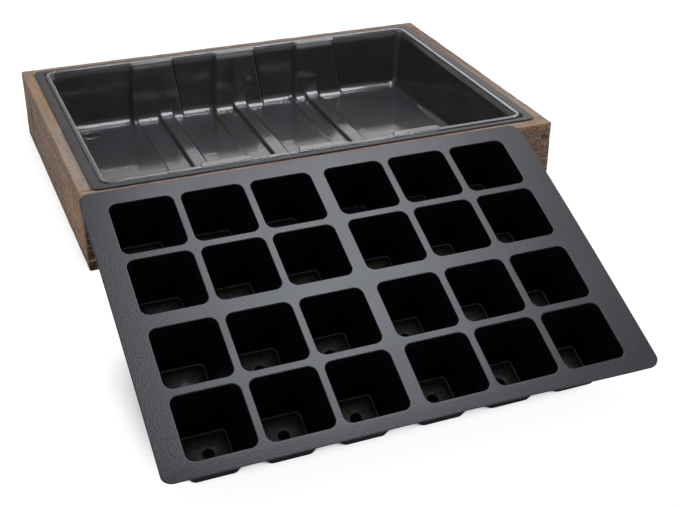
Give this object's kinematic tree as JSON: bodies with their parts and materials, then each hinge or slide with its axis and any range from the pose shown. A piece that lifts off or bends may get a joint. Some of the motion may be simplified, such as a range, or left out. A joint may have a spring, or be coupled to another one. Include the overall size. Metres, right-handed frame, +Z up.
{
  "type": "seed tray",
  "caption": "Nailed frame of rough boards holding a flanged black plastic tray with a clear tray nested in it, and a cell insert for seedlings standing tilted in front.",
  "frame": {"origin": "on the ground, in the middle of the box round the whole set: the frame with its trays and the insert in front of it", "axes": "+Z up; +Y from the insert towards the frame, across the frame's width; +X to the right along the frame's long boards"},
  "size_m": [0.418, 0.5824, 0.1157],
  "materials": {
    "stained_wood": "rough-sawn, dark stain",
    "nail_steel": "dull",
    "black_plastic": "satin",
    "clear_plastic": "clear, glossy",
    "satin_black_plastic": "satin"
  },
  "bodies": {
    "wooden_frame": {"front_board": "stained_wood", "back_board": "stained_wood", "left_board": "stained_wood", "right_board": "stained_wood", "nail_front_left_lower": "nail_steel", "nail_front_left_upper": "nail_steel", "nail_back_left_lower": "nail_steel", "nail_back_left_upper": "nail_steel", "nail_front_right_lower": "nail_steel", "nail_front_right_upper": "nail_steel", "nail_back_right_lower": "nail_steel", "nail_back_right_upper": "nail_steel"},
    "black_tray": {"black_tray": "black_plastic"},
    "clear_tray": {"clear_tray": "clear_plastic"},
    "cell_insert": {"cell_insert": "satin_black_plastic"}
  },
  "joints": [
    {"name": "black_tray_lift", "type": "slide", "parent": "wooden_frame", "child": "black_tray", "axis": [0, 0, 1], "range_m": [0, 0.075]},
    {"name": "clear_tray_lift", "type": "slide", "parent": "black_tray", "child": "clear_tray", "axis": [0, 0, 1], "range_m": [0, 0.07]},
    {"name": "cell_insert_lift", "type": "slide", "parent": "wooden_frame", "child": "cell_insert", "axis": [0, 0, 1], "range_m": [0, 0.1]}
  ]
}
